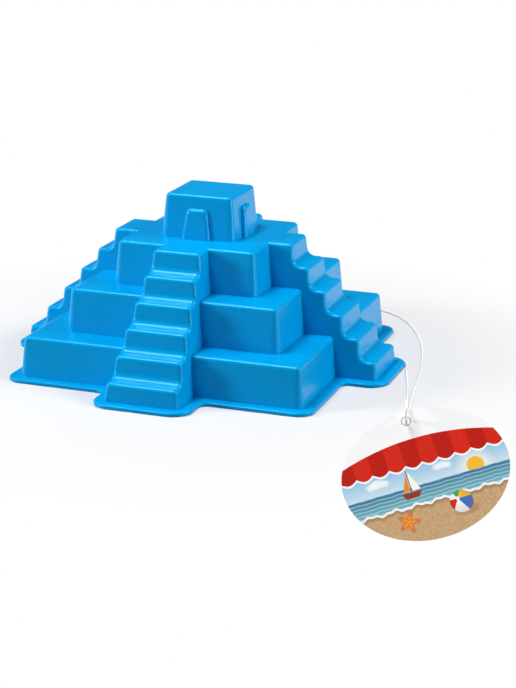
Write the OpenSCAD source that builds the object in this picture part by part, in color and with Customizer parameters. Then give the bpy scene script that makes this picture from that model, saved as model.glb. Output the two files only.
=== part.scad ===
/* [Tiers] */
// Width of the lowest tier at its foot
tier_1_w = 177.6; // [165:0.2:185]
// Width of the middle tier at its foot
tier_2_w = 135; // [122:0.5:145]
// Width of the top tier at its foot
tier_3_w = 91.5; // [80:0.5:100]
// Height of each tier
tier_h = 26.4; // [22:0.1:30]
// Rounding of the tiers' outer edges
tier_r = 2.6; // [2.5:0.1:4]
// Draft of every standing wall, in degrees
draft = 6.2; // [3:0.1:8]
// Wall thickness of the moulding
wall = 2; // [1.4:0.1:2.4]

/* [Temple] */
// Width of the temple at its foot
temple_w = 47.8; // [40:0.2:52]
// Height of the temple
temple_h = 26.4; // [22:0.1:32]
// Width of a door at its foot
door_foot_w = 18.2; // [14:0.2:20]
// Width of a door at its top
door_top_w = 12.9; // [9:0.1:14]
// Height of a door
door_h = 18.4; // [14:0.2:20]
// How far a door stands out from its wall
door_depth = 2.7; // [1.5:0.1:3.5]

/* [Stairs] */
// Number of steps in each stair
step_count = 6; // [4:1:8]
// Distance of a stair's lowest riser from the centre, at its foot
stair_reach = 114.2; // [108:0.2:118]
// Width of a stair at its foot
stair_w = 46.3; // [38:0.1:52]
// Distance from one nose to the next
step_run = 11.1; // [10:0.1:11.4]
// Rounding of the noses
nose_r = 2.6; // [1.4:0.1:3.6]
// Rounding where a tread meets the riser above it
cove_r = 5; // [1:0.1:5.8]

/* [Rim] */
// Thickness of the rim
rim_t = 2.3; // [2:0.1:3]
// How far the rim stands out from the tiers and from the foot of a stair
rim_w = 6.4; // [6:0.1:8]
// How far the rim stands out from a stair's sides
stair_rim_w = 7; // [6:0.1:10]
// Radius of the rim's corners at the lowest tier
rim_corner_r = 10; // [4:0.5:12]
// Radius of the rim's corners at the stairs
stair_rim_corner_r = 12; // [4:0.5:14]
// Radius of the rim's inner corners
rim_inner_r = 5.5; // [3:0.5:8]

/* [Tag hole in the rim] */
// Diameter of the hole that the loop passes through
string_hole_d = 4; // [3.4:0.1:4.6]
// Distance of the hole from the side of the rim
string_hole_inset = 17.2; // [14.2:0.5:40.2]
// Width of the grooves under the rim that let the loop in and out
groove_w = 2.2; // [1.6:0.1:3]
// Depth of those grooves
groove_h = 1.4; // [1.2:0.1:1.6]
// Distance of the groove beside the right stair from the end of that stair's rim
stair_groove_inset = 17.6; // [14:0.1:18.4]

/* [Tag] */
// Length of the oval card
tag_w = 82; // [70:0.5:90]
// Height of the oval card
tag_h = 66.5; // [60:0.5:72]
// Thickness of the card
tag_t = 0.5; // [0.3:0.05:0.6]
// Diameter of the punched hole
tag_hole_d = 4; // [3.6:0.1:5]
// Distance from the middle of the hole to the edge of the card
tag_margin = 5.3; // [5:0.1:6.5]
// Distance of the hole to the left of the card's middle
tag_hole_shift = 1.1; // [0:0.1:4]
// Lean of the card from the floor, in degrees
tag_lean = 50; // [40:1:60]
// Turn of the card's length in its own plane, in degrees
tag_turn = 20; // [10:1:30]
// Direction that the card faces, from the front, in degrees
tag_heading = 13; // [0:1:25]

/* [Loop] */
// Diameter of the filament
loop_d = 1; // [0.6:0.1:1.2]
// Diameter of the snap lock's barrel
lock_d = 3.8; // [3:0.1:4]
// Diameter of the snap lock's collars
lock_collar_d = 2.6; // [1.8:0.1:2.8]
// Length of each collar
lock_collar_l = 1.2; // [0.6:0.1:2]

/* [Hidden] */
$fn = 48;

// How far a cut runs past the face that it opens
overrun = 1;
// Segments in each rounded corner of an outline
arc_steps = 4;
// Segments in the rounded top edge of a tier
edge_steps = 4;
// Points round the oval card
oval_points = 72;
// Sides of the filament, and rings from one point of its route to the next
loop_sides = 8;
loop_rings = 2;
// Power of the distance between two points that spaces the route's curve
loop_power_share = 0.5;
// How far the filament lies above the middle of the tag's hole
tag_seat = 0.65;
// Least rounding left inside a nose, of the nose's own
inner_nose_share = 0.2;

slope = tan(draft);
// Thickness of a drafted wall, measured level
wall_level = wall / cos(draft);
temple_foot_z = 3 * tier_h;
temple_top_z = temple_foot_z + temple_h;
step_rise = temple_foot_z / step_count;
rim_half = tier_1_w / 2 + rim_w;
stair_rim_half = stair_w / 2 + stair_rim_w;
stair_rim_reach = stair_reach + rim_w;
string_hole_x = rim_half - string_hole_inset;
string_hole_y = tier_1_w / 2 + rim_w / 2;
stair_groove_x = stair_rim_reach - stair_groove_inset;
// Rounding that is left inside a rounded wall
inner_r = tier_r - wall;
inner_nose_r = max(nose_r - wall, nose_r * inner_nose_share);
inner_cove_r = cove_r + wall;

// Where the filament passes through the tag
tag_pivot = [179, -208, 47];
// Where the filament's two ends meet the lock
lock_front = [61, 114, 2];
lock_back = [61, 122, 2];
lock_l = norm(lock_back - lock_front);

// Route of the filament, from the back of the lock round to its front
loop_route = [
    lock_back, [61, 127, 1.5], [65.5, 135, 0.5], [73, 134, 0.5], [86, 126, 0.5],
    [98, 112, 0.5], [111, 87.5, 0.5], [122.5, 55, 0.5], [132, 14, 0.5], [144, -60, 0.5],
    [160, -125, 0.5], [169, -159, 12], [173, -179, 28], [177, -200, 51.5], [178, -204, 55.5],
    [179, -208.5, 56.5], [180, -212, 55], [180, -212.5, 51.5], tag_pivot, [177, -199, 39],
    [167.5, -164.5, 11], [160, -134, 0.5], [134.5, -27, 0.5], [122.6, 15, 0.5], [120, 25.5, 0.5],
    [114.5, 30.5, 0.5], [109, 33, 0.5], [104.8, 32.6, 0.5], [103, 29.5, 0.5], [102.8, 21, 0.5],
    [97, 12, 0.5], [87, 14, 0.5], [78.5, 36, 0.5], [78, 84, 0.5], [78, 88.8, 0.5],
    [78, 90.2, 0.85], [78, 92, 2.7], [77.4, 94.2, 4.9], [75, 98, 6.2], [65, 109.5, 2.6],
    lock_front
];

function unit(v) = v / norm(v);

// Points of the arc that rounds corner b of an outline, between its neighbours a and c
function rounded(a, b, c, r) =
    let (
        to_a = unit(a - b),
        to_c = unit(c - b),
        half = acos(to_a * to_c) / 2,
        centre = b + unit(to_a + to_c) * r / sin(half),
        first = unit(b + to_a * r / tan(half) - centre),
        last = unit(b + to_c * r / tan(half) - centre)
    )
    [for (i = [0:arc_steps]) centre + r * unit(first * (arc_steps - i) + last * i)];

// A closed outline with corner i rounded to radii[i]
function rounded_outline(points, radii) =
    let (count = len(points))
    [for (i = [0:count - 1])
        each rounded(points[(i + count - 1) % count], points[i], points[(i + 1) % count], radii[i])];

// Half profile of a drafted block, measured outwards from the middle of its corner rounding
function edge_profile(top_z, r, bottom_z) =
    let (centre = r - r / cos(draft) + r * slope)
    concat(
        [[r + (top_z - bottom_z) * slope, bottom_z]],
        [for (i = [0:edge_steps])
            let (a = draft + (90 - draft) * i / edge_steps)
            [centre + r * cos(a), top_z - r + r * sin(a)]]
    );

// The outer face of one nose and of the riser's foot behind it, counted from the lowest step
function nose_point(k, inset) =
    [stair_reach - inset - step_rise * slope - (k - 1) * step_run, k * step_rise - inset];
function foot_point(k, inset) = [stair_reach - inset - k * step_run, k * step_rise - inset];

// Half profile of a stair, from the foot of its lowest riser to the middle of the mould
function stair_profile(inset, nose, cove, bottom_z) =
    concat(
        [[stair_reach - inset, bottom_z]],
        [for (k = [1:step_count])
            each concat(
                rounded(k == 1 ? [stair_reach - inset, 0] : foot_point(k - 1, inset),
                    nose_point(k, inset), foot_point(k, inset), nose),
                k == step_count ? [] : rounded(nose_point(k, inset), foot_point(k, inset),
                    nose_point(k + 1, inset), cove)
            )]
    );

function mirrored(points) = concat(points, [for (i = [len(points) - 1:-1:0]) [-points[i].x, points[i].y]]);

// Square block with drafted sides and rounded edges, given by the width of its top
module drafted_block(top_w, top_z, r, bottom_z) {
    core = top_w / 2 - r;
    edge = edge_profile(top_z, r, bottom_z);
    side = mirrored([for (p = edge) [core + p.x, p.y]]);
    corner = concat([[0, bottom_z]], edge, [[0, top_z]]);
    for (turn = [0, 90])
        rotate([90, 0, turn])
            linear_extrude(2 * core, center = true)
                polygon(side);
    for (turn = [0:90:270])
        rotate(turn)
            translate([core, core, 0])
                rotate_extrude(angle = 90)
                    polygon(corner);
}

// Two opposite stairs as one stepped bar with drafted sides
module stair_bar(inset, nose, cove, bottom_z) {
    half_w = stair_w / 2 - inset / cos(draft);
    top_z = temple_foot_z + overrun;
    intersection() {
        rotate([90, 0, 0])
            linear_extrude(stair_w, center = true)
                polygon(mirrored(stair_profile(inset, nose, cove, bottom_z)));
        rotate([90, 0, 90])
            linear_extrude(2 * stair_rim_reach, center = true)
                polygon(mirrored([[half_w - bottom_z * slope, bottom_z], [half_w - top_z * slope, top_z]]));
    }
}

// The raised doors on two opposite walls of the temple
module door_bar(inset) {
    foot_z = temple_foot_z - wall;
    taper = (door_foot_w - door_top_w) / 2 / door_h;
    foot_half = door_foot_w / 2 - inset + wall * taper;
    top_half = door_top_w / 2 - inset + inset * taper;
    reach = temple_w + 2 * door_depth - 2 * inset / cos(draft);
    intersection() {
        rotate([90, 0, 0])
            linear_extrude(reach, center = true)
                polygon(mirrored([[foot_half, foot_z], [top_half, temple_foot_z + door_h - inset]]));
        rotate([90, 0, 90])
            linear_extrude(reach, center = true)
                polygon(mirrored([
                    [reach / 2 + wall * slope, foot_z],
                    [reach / 2 - temple_h * slope, temple_top_z]
                ]));
    }
}

// All the stepped forms together, drawn in by inset from the outer faces
module stepped_form(inset, r, nose, cove, bottom_z) {
    level_inset = inset / cos(draft);
    widths = [tier_1_w, tier_2_w, tier_3_w];
    for (i = [0:2])
        drafted_block(widths[i] - 2 * (tier_h - inset) * slope - 2 * level_inset,
            (i + 1) * tier_h - inset, r, bottom_z);
    drafted_block(temple_w - 2 * (temple_h - inset) * slope - 2 * level_inset,
        temple_top_z - inset, r, bottom_z);
    for (turn = [0, 90])
        rotate(turn) {
            stair_bar(inset, nose, cove, bottom_z);
            door_bar(inset);
        }
}

module rim() {
    quarter = [
        [rim_half, -stair_rim_half], [stair_rim_reach, -stair_rim_half],
        [stair_rim_reach, stair_rim_half], [rim_half, stair_rim_half], [rim_half, rim_half]
    ];
    radii = [rim_inner_r, stair_rim_corner_r, stair_rim_corner_r, rim_inner_r, rim_corner_r];
    turned = [for (turn = [0:90:270]) for (p = quarter)
        [p.x * cos(turn) - p.y * sin(turn), p.x * sin(turn) + p.y * cos(turn)]];
    linear_extrude(rim_t)
        polygon(rounded_outline(turned, [for (turn = [0:3]) each radii]));
}

module mould_shell() {
    color("#0a8fd8")
    difference() {
        union() {
            rim();
            stepped_form(0, tier_r, nose_r, cove_r, 0);
        }
        stepped_form(wall, inner_r, inner_nose_r, inner_cove_r, -overrun);
        translate([string_hole_x, string_hole_y, -overrun])
            cylinder(h = rim_t + 2 * overrun, d = string_hole_d);
        translate([string_hole_x - groove_w / 2, tier_1_w / 2 - wall_level - overrun, -overrun])
            cube([groove_w, rim_w / 2 + wall_level + overrun, groove_h + overrun]);
        translate([stair_groove_x - groove_w / 2, stair_w / 2 - wall_level - overrun, -overrun])
            cube([groove_w, stair_rim_w + wall_level + 2 * overrun, groove_h + overrun]);
    }
}

// The tag's own frame: x along the floor, y up the card, z out of its printed face, from the filament
module on_tag() {
    translate(tag_pivot)
        rotate([0, 0, tag_heading])
            rotate([tag_lean, 0, 0])
                children();
}

module hang_tag() {
    hole_to_middle = tag_h / 2 - tag_margin;
    color("white")
    on_tag()
        translate([0, -tag_seat, -tag_t / 2])
            rotate(tag_turn)
                difference() {
                    translate([tag_hole_shift, -hole_to_middle, 0])
                        linear_extrude(tag_t)
                            polygon([for (i = [0:oval_points - 1])
                                let (a = 360 * i / oval_points)
                                [tag_w / 2 * cos(a), tag_h / 2 * sin(a)]]);
                    translate([0, 0, -overrun])
                        cylinder(h = tag_t + 2 * overrun, d = tag_hole_d);
                }
}

// Direction of the route's curve at point i, with neighbours weighed by their distance
function route_gap(i) = pow(norm(loop_route[i + 1] - loop_route[i]), loop_power_share);
function route_slope(i) =
    let (last = len(loop_route) - 1)
    i == 0 ? (loop_route[1] - loop_route[0]) / route_gap(0)
    : i == last ? (loop_route[last] - loop_route[last - 1]) / route_gap(last - 1)
    : let (before = route_gap(i - 1), after = route_gap(i))
      (loop_route[i] - loop_route[i - 1]) / before
      - (loop_route[i + 1] - loop_route[i - 1]) / (before + after)
      + (loop_route[i + 1] - loop_route[i]) / after;

// Point on the curve from point i to the next, at share t of the way, no lower than the floor allows
function route_point(i, t) =
    let (
        gap = route_gap(i),
        p = (2 * t * t * t - 3 * t * t + 1) * loop_route[i]
            + (t * t * t - 2 * t * t + t) * gap * route_slope(i)
            + (3 * t * t - 2 * t * t * t) * loop_route[i + 1]
            + (t * t * t - t * t) * gap * route_slope(i + 1)
    )
    [p.x, p.y, max(p.z, loop_d / 2)];

// One closed tube along the points
module tube(points, d, sides) {
    last = len(points) - 1;
    along = [for (i = [0:last]) unit(points[min(i + 1, last)] - points[max(i - 1, 0)])];
    across = [for (i = 0, u = unit(cross(along[0], [0, 0, 1])); i <= last;
        i = i + 1, u = i > last ? u : unit(u - along[i] * (u * along[i]))) u];
    rings = [for (i = [0:last]) for (k = [0:sides - 1])
        let (a = 360 * k / sides)
        points[i] + d / 2 * (across[i] * cos(a) + cross(along[i], across[i]) * sin(a))];
    walls = [for (i = [0:last - 1]) for (k = [0:sides - 1])
        let (a = i * sides + k, b = i * sides + (k + 1) % sides)
        each [[a, a + sides, b], [b, a + sides, b + sides]]];
    ends = [
        [for (k = [0:sides - 1]) k],
        [for (k = [sides - 1:-1:0]) last * sides + k]
    ];
    polyhedron(rings, concat(walls, ends));
}

module tag_loop() {
    spans = len(loop_route) - 1;
    color("#eef3f4")
    tube([for (i = [0:spans * loop_rings])
            i == spans * loop_rings ? lock_front
            : route_point(floor(i / loop_rings), i % loop_rings / loop_rings)],
        loop_d, loop_sides);
}

module loop_lock() {
    color("#dfe7e9")
    translate(lock_front)
        rotate([-90, 0, 0])
            rotate_extrude()
                polygon([
                    [0, 0], [lock_collar_d / 2, 0], [lock_collar_d / 2, lock_collar_l],
                    [lock_d / 2, lock_collar_l], [lock_d / 2, lock_l - lock_collar_l],
                    [lock_collar_d / 2, lock_l - lock_collar_l], [lock_collar_d / 2, lock_l], [0, lock_l]
                ]);
}

mould_shell();
hang_tag();
tag_loop();
loop_lock();
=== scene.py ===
"""Stepped sand mould with its hang tag: fine forms, finishes and studio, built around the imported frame."""

import logging
import math
from dataclasses import dataclass
from enum import Enum

import bpy
from mathutils import Matrix, Vector


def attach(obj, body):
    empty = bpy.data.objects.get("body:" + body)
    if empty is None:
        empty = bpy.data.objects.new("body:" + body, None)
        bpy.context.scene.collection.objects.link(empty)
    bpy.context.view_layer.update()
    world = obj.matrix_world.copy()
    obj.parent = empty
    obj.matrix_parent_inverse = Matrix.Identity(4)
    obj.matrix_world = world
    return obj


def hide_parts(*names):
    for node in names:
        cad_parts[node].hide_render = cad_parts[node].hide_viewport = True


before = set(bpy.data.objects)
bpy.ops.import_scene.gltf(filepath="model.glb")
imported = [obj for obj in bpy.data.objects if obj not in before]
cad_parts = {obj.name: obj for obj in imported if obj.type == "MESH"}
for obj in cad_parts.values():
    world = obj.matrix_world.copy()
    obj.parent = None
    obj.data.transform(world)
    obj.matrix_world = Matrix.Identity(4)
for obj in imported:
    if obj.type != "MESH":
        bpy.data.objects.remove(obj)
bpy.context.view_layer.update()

LOG = logging.getLogger("sand_mould")
MM = 0.001
QUARTERS = 4
QUARTER_TURN = 90.0

# The curve from a display's levels to linear light
TOP_LEVEL = 255
TOE_END = 0.04045
TOE_SLOPE = 12.92
CURVE_SHIFT = 0.055
CURVE_POWER = 2.4

# Values for shaders, with the range that most of a noise lies in
OPAQUE = 1.0
WHITE = (1.0, 1.0, 1.0)
BLACK = (0.0, 0.0, 0.0)
NOISE_SPAN = (0.3, 0.7)

Point2 = tuple[float, float]
Point3 = tuple[float, float, float]
Outline = tuple[Point2, ...]
Span = tuple[float, float]
Colour = tuple[float, float, float]
Paint = Colour | bpy.types.NodeSocket


class Joining(Enum):
    """How one form is joined to another."""

    ADD = "UNION"
    CUT = "DIFFERENCE"


class Body(Enum):
    """The moving bodies of the frame."""

    MOULD = "mould"
    TAG = "tag"


def linear(red: int, green: int, blue: int) -> Colour:
    """Turns a display colour into the linear values that shaders take.

    Args:
        red: Red, from 0 to 255.
        green: Green, from 0 to 255.
        blue: Blue, from 0 to 255.

    Returns:
        The three linear values, from 0 to 1.
    """
    values = []
    for level in (red, green, blue):
        share = level / TOP_LEVEL
        curved = ((share + CURVE_SHIFT) / (1 + CURVE_SHIFT)) ** CURVE_POWER
        values.append(share / TOE_SLOPE if share <= TOE_END else curved)
    return tuple(values)


def corner_arc(before: Point2, corner: Point2, after: Point2, radius: float, steps: int) -> list[Point2]:
    """Rounds one corner of an outline.

    Args:
        before: The outline's point before the corner.
        corner: The corner itself.
        after: The outline's point after the corner.
        radius: Radius of the rounding.
        steps: Number of segments in the arc.

    Returns:
        The points of the arc, in the outline's own order.
    """
    at = Vector(corner)
    to_before = (Vector(before) - at).normalized()
    to_after = (Vector(after) - at).normalized()
    half = math.acos(max(-1.0, min(1.0, to_before.dot(to_after)))) / 2
    centre = at + (to_before + to_after).normalized() * (radius / math.sin(half))
    first = at + to_before * (radius / math.tan(half)) - centre
    last = at + to_after * (radius / math.tan(half)) - centre
    sweep = math.pi - 2 * half
    turn = 1.0 if first.x * last.y - first.y * last.x > 0 else -1.0
    points = []
    for i in range(steps + 1):
        angle = turn * sweep * i / steps
        x = first.x * math.cos(angle) - first.y * math.sin(angle)
        y = first.x * math.sin(angle) + first.y * math.cos(angle)
        points.append((centre.x + x, centre.y + y))
    return points


@dataclass
class Form:
    """A closed surface, in millimetres, before it becomes a mesh.

    Attributes:
        points: The surface's corners.
        faces: Its faces, as indices of corners, seen anticlockwise from outside.
    """

    points: list[Point3]
    faces: list[tuple[int, ...]]

    @classmethod
    def loft(cls, rings: list[list[Point3]]) -> "Form":
        """Joins closed rings of equal count, from the first to the last, and caps both ends.

        Args:
            rings: The rings, each anticlockwise seen from the last one.

        Returns:
            The lofted form.
        """
        count = len(rings[0])
        last = (len(rings) - 1) * count
        faces = [tuple(reversed(range(count)))]
        for base in range(0, last, count):
            for i in range(count):
                j = (i + 1) % count
                faces.append((base + i, base + j, base + count + j, base + count + i))
        faces.append(tuple(range(last, last + count)))
        return cls([p for ring in rings for p in ring], faces)

    def turned(self, degrees: float) -> "Form":
        """Gives a copy turned about the vertical axis by that angle."""
        c, s = math.cos(math.radians(degrees)), math.sin(math.radians(degrees))
        return Form([(x * c - y * s, x * s + y * c, z) for x, y, z in self.points], self.faces)

    def piece(self, name: str) -> bpy.types.Object:
        """Makes the form a mesh object, in metres.

        Args:
            name: Name of the object.

        Returns:
            The new object, linked to the scene.
        """
        mesh = bpy.data.meshes.new(name)
        mesh.from_pydata([Vector(p) * MM for p in self.points], [], self.faces)
        made = bpy.data.objects.new(name, mesh)
        bpy.context.scene.collection.objects.link(made)
        return made


def settle(piece: bpy.types.Object) -> None:
    """Applies a piece's modifiers to its mesh."""
    bpy.context.view_layer.update()
    graph = bpy.context.evaluated_depsgraph_get()
    made = bpy.data.meshes.new_from_object(piece.evaluated_get(graph))
    old = piece.data
    piece.modifiers.clear()
    piece.data = made
    bpy.data.meshes.remove(old)


def join(base: bpy.types.Object, form: Form, joining: Joining) -> None:
    """Adds a form to a piece or cuts it out of it.

    Args:
        base: The piece that changes.
        form: The form that is added or cut.
        joining: Which of the two is done.
    """
    tool = form.piece("joining_form")
    step = base.modifiers.new("joining", "BOOLEAN")
    step.operation = joining.value
    step.solver = "MANIFOLD"
    step.object = tool
    settle(base)
    mesh = tool.data
    bpy.data.objects.remove(tool)
    bpy.data.meshes.remove(mesh)


def smooth(piece: bpy.types.Object, sharp_from: float) -> None:
    """Shades a piece smooth, with creases kept where its faces meet at a wide angle.

    Args:
        piece: The piece to shade.
        sharp_from: Least angle between two faces that stays a crease, in degrees.
    """
    piece.data.shade_smooth()
    piece.data.set_sharp_from_angle(angle=math.radians(sharp_from))
    flats = piece.modifiers.new("flat_faces", "WEIGHTED_NORMAL")
    flats.mode = "FACE_AREA"
    flats.keep_sharp = True


def place(piece: bpy.types.Object, body: Body, node: str) -> None:
    """Hands a finished piece to the frame and reports it.

    Args:
        piece: The finished piece.
        body: The body that it rides on.
        node: The node that it stands for.
    """
    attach(piece, body.value)
    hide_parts(node)
    LOG.info("%s stands for %s on %s", piece.name, node, body.value)


class Field:
    """A number that varies over a surface, carried by one socket of a node tree."""

    def __init__(self, board: "NodeBoard", socket: bpy.types.NodeSocket) -> None:
        """Holds the socket and the board that it belongs to."""
        self.board = board
        self.socket = socket

    def maths(self, operation: str, *others: "Field | float") -> "Field":
        """Adds a maths node whose first input is this field.

        Args:
            operation: Name of the operation.
            *others: The further inputs.

        Returns:
            The node's result.
        """
        node = self.board.add("Math", operation=operation)
        for socket, value in zip(node.inputs, (self, *others)):
            self.board.feed(socket, value)
        return Field(self.board, node.outputs[0])

    def __add__(self, other: "Field | float") -> "Field":
        """Sum."""
        return self.maths("ADD", other)

    def __sub__(self, other: "Field | float") -> "Field":
        """Difference."""
        return self.maths("SUBTRACT", other)

    def __mul__(self, other: "Field | float") -> "Field":
        """Product."""
        return self.maths("MULTIPLY", other)

    def least(self, other: "Field | float") -> "Field":
        """The lesser of the two."""
        return self.maths("MINIMUM", other)

    def most(self, other: "Field | float") -> "Field":
        """The greater of the two."""
        return self.maths("MAXIMUM", other)

    def size(self) -> "Field":
        """The value without its sign."""
        return self.maths("ABSOLUTE")

    def sine(self) -> "Field":
        """The sine."""
        return self.maths("SINE")

    def within(self, soft: float) -> "Field":
        """Turns a distance to an outline, negative inside, into a mask with an edge of that softness."""
        return (self * (-1 / soft) + 0.5).least(1.0).most(0.0)


class NodeBoard:
    """A node tree, with short calls to add and join nodes."""

    def __init__(self, owner: bpy.types.Material | bpy.types.World) -> None:
        """Takes up the node tree of a material or of the surroundings."""
        owner.use_nodes = True
        self.tree = owner.node_tree

    def add(self, kind: str, **settings: object) -> bpy.types.Node:
        """Adds one node.

        Args:
            kind: The node's type, without its prefix.
            **settings: Properties to set on it.

        Returns:
            The new node.
        """
        node = self.tree.nodes.new(f"ShaderNode{kind}")
        for key, value in settings.items():
            setattr(node, key, value)
        return node

    def feed(self, socket: bpy.types.NodeSocket, value: "Field | Paint | float") -> None:
        """Gives a socket a field, a colour or a number.

        Args:
            socket: The input.
            value: What it receives.
        """
        if isinstance(value, Field):
            self.tree.links.new(value.socket, socket)
        elif isinstance(value, bpy.types.NodeSocket):
            self.tree.links.new(value, socket)
        elif isinstance(value, tuple):
            socket.default_value = (*value, OPAQUE)
        else:
            socket.default_value = value

    def places(self) -> bpy.types.NodeSocket:
        """The piece's own coordinates, in metres."""
        return self.add("TexCoord").outputs["Object"]

    def distance(self) -> Field:
        """Distance from the piece's origin, in metres."""
        node = self.add("VectorMath", operation="LENGTH")
        self.feed(node.inputs[0], self.places())
        return Field(self, node.outputs["Value"])

    def parts(self, vector: bpy.types.NodeSocket) -> list[Field]:
        """Splits a vector into its three numbers."""
        split = self.add("SeparateXYZ")
        self.feed(split.inputs[0], vector)
        return [Field(self, socket) for socket in split.outputs]

    def noise(self, per_metre: float, detail: float, rough: float = 0.5) -> Field:
        """Adds a noise in the piece's own coordinates.

        Args:
            per_metre: How many blotches there are in a metre.
            detail: How many finer layers it has.
            rough: How strong those layers are.

        Returns:
            The noise, from 0 to 1.
        """
        node = self.add("TexNoise")
        self.feed(node.inputs["Vector"], self.places())
        self.feed(node.inputs["Scale"], per_metre)
        self.feed(node.inputs["Detail"], detail)
        self.feed(node.inputs["Roughness"], rough)
        return Field(self, node.outputs["Fac"])

    def span(self, field: Field, low: float, high: float, to_low: float = 0.0, to_high: float = 1.0) -> Field:
        """Maps a field from one range to another, kept within the second."""
        node = self.add("MapRange")
        for socket, value in zip(node.inputs, (field, low, high, to_low, to_high)):
            self.feed(socket, value)
        return Field(self, node.outputs["Result"])

    def mix(self, mask: Field, under: Paint, over: Paint) -> bpy.types.NodeSocket:
        """Lays one colour over another.

        Args:
            mask: Where the upper colour shows.
            under: The lower colour, or its socket.
            over: The upper colour, or its socket.

        Returns:
            The mixed colour's socket.
        """
        node = self.add("Mix", data_type="RGBA")
        sockets = {s.identifier: s for s in (*node.inputs, *node.outputs)}
        self.feed(sockets["Factor_Float"], mask)
        self.feed(sockets["A_Color"], under)
        self.feed(sockets["B_Color"], over)
        return sockets["Result_Color"]


class MaterialBoard(NodeBoard):
    """The node tree of a new material, with its shader."""

    def __init__(self, name: str) -> None:
        """Starts the material of that name."""
        self.material = bpy.data.materials.new(name)
        super().__init__(self.material)
        self.shader = self.tree.nodes["Principled BSDF"]

    def set(self, **values: Field | Paint | float) -> None:
        """Sets inputs of the shader, named with underscores for spaces."""
        for key, value in values.items():
            self.feed(self.shader.inputs[key.replace("_", " ")], value)

    def bump(self, height: Field, depth: float, strength: float) -> None:
        """Roughens the surface.

        Args:
            height: The relief, from 0 to 1.
            depth: Depth of the relief, in millimetres.
            strength: How much of it shows.
        """
        node = self.add("Bump")
        self.feed(node.inputs["Strength"], strength)
        self.feed(node.inputs["Distance"], depth * MM)
        self.feed(node.inputs["Height"], height)
        self.feed(self.shader.inputs["Normal"], node.outputs["Normal"])


@dataclass(frozen=True)
class MouldedPlastic:
    """Satin plastic as it leaves the mould.

    Attributes:
        name: Name of the material.
        colour: The plastic's colour.
        cloud: Colour of the faint clouds where the pigment flowed less evenly.
        rough: Least and greatest roughness.
        specular: Level of the surface reflection.
        tint: Tint of that reflection.
    """

    name: str
    colour: Colour
    cloud: Colour
    rough: Span
    specular: float
    tint: Colour

    clouds_per_metre: float = 18.0
    cloud_detail: float = 3.0
    cloud_span: Span = (0.35, 0.7)
    waves_per_metre: float = 40.0
    wave_detail: float = 1.0
    relief: float = 0.005
    relief_shown: float = 1.0

    def material(self) -> bpy.types.Material:
        """Builds the material.

        Returns:
            The finished material.
        """
        board = MaterialBoard(self.name)
        clouds = board.noise(self.clouds_per_metre, self.cloud_detail)
        polish = board.noise(self.clouds_per_metre, self.wave_detail)
        waves = board.noise(self.waves_per_metre, self.wave_detail)
        board.set(
            Base_Color=board.mix(board.span(clouds, *self.cloud_span), self.colour, self.cloud),
            Roughness=board.span(polish, *NOISE_SPAN, *self.rough),
            Specular_IOR_Level=self.specular,
            Specular_Tint=self.tint,
        )
        board.bump(waves, self.relief, self.relief_shown)
        return board.material


@dataclass(frozen=True)
class MilkyNylon:
    """Milky nylon of the loop and its lock.

    Attributes:
        name: Name of the material.
        colour: The nylon's colour.
        haze: Colour of its cloudier stretches.
    """

    name: str
    colour: Colour
    haze: Colour

    haze_per_metre: float = 160.0
    haze_detail: float = 2.0
    scuffs_per_metre: float = 900.0
    scuff_detail: float = 3.0
    rough: Span = (0.25, 0.4)
    refraction: float = 1.53
    relief: float = 0.04
    relief_shown: float = 0.5

    def material(self) -> bpy.types.Material:
        """Builds the material.

        Returns:
            The finished material.
        """
        board = MaterialBoard(self.name)
        haze = board.noise(self.haze_per_metre, self.haze_detail)
        scuffs = board.noise(self.scuffs_per_metre, self.scuff_detail)
        board.set(
            Base_Color=board.mix(haze, self.colour, self.haze),
            Roughness=board.span(scuffs, *NOISE_SPAN, *self.rough),
            IOR=self.refraction,
        )
        board.bump(scuffs, self.relief, self.relief_shown)
        return board.material


@dataclass(frozen=True)
class CardStock:
    """White board of the tag, seen on its back and its cut edge.

    Attributes:
        name: Name of the material.
        colour: The board's colour.
        fibre: Colour of its fibres.
    """

    name: str
    colour: Colour
    fibre: Colour

    fibres_per_metre: float = 1500.0
    fibre_detail: float = 4.0
    fibre_rough: float = 0.6
    fibre_span: Span = (0.4, 0.75)
    rough: Span = (0.6, 0.75)
    relief: float = 0.03
    relief_shown: float = 0.6

    def material(self) -> bpy.types.Material:
        """Builds the material.

        Returns:
            The finished material.
        """
        board = MaterialBoard(self.name)
        fibres = board.noise(self.fibres_per_metre, self.fibre_detail, self.fibre_rough)
        board.set(
            Base_Color=board.mix(board.span(fibres, *self.fibre_span), self.colour, self.fibre),
            Roughness=board.span(fibres, *NOISE_SPAN, *self.rough),
        )
        board.bump(fibres, self.relief, self.relief_shown)
        return board.material


class Ink(Enum):
    """The colours of the tag's print, and the grey of the shade painted round its hole."""

    WHITE = linear(250, 251, 252)
    RED = linear(214, 38, 20)
    DEEP_RED = linear(190, 26, 12)
    SKY = linear(122, 184, 226)
    HAZE = linear(206, 230, 242)
    DEEP_SEA = linear(46, 122, 158)
    SHALLOW = linear(120, 190, 200)
    SAND = linear(214, 178, 132)
    WET_SAND = linear(168, 130, 92)
    YELLOW = linear(250, 190, 50)
    BROWN = linear(150, 60, 30)
    CREAM = linear(255, 250, 238)
    ORANGE = linear(240, 140, 40)
    CORAL = linear(236, 110, 46)
    GREEN = linear(70, 170, 80)
    BLUE = linear(40, 120, 200)
    # Painted shade: the grey of the ring round the card's hole, which stands in for the shade of its cut
    # edge.
    HOLE_SHADE = linear(78, 80, 84)


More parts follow.
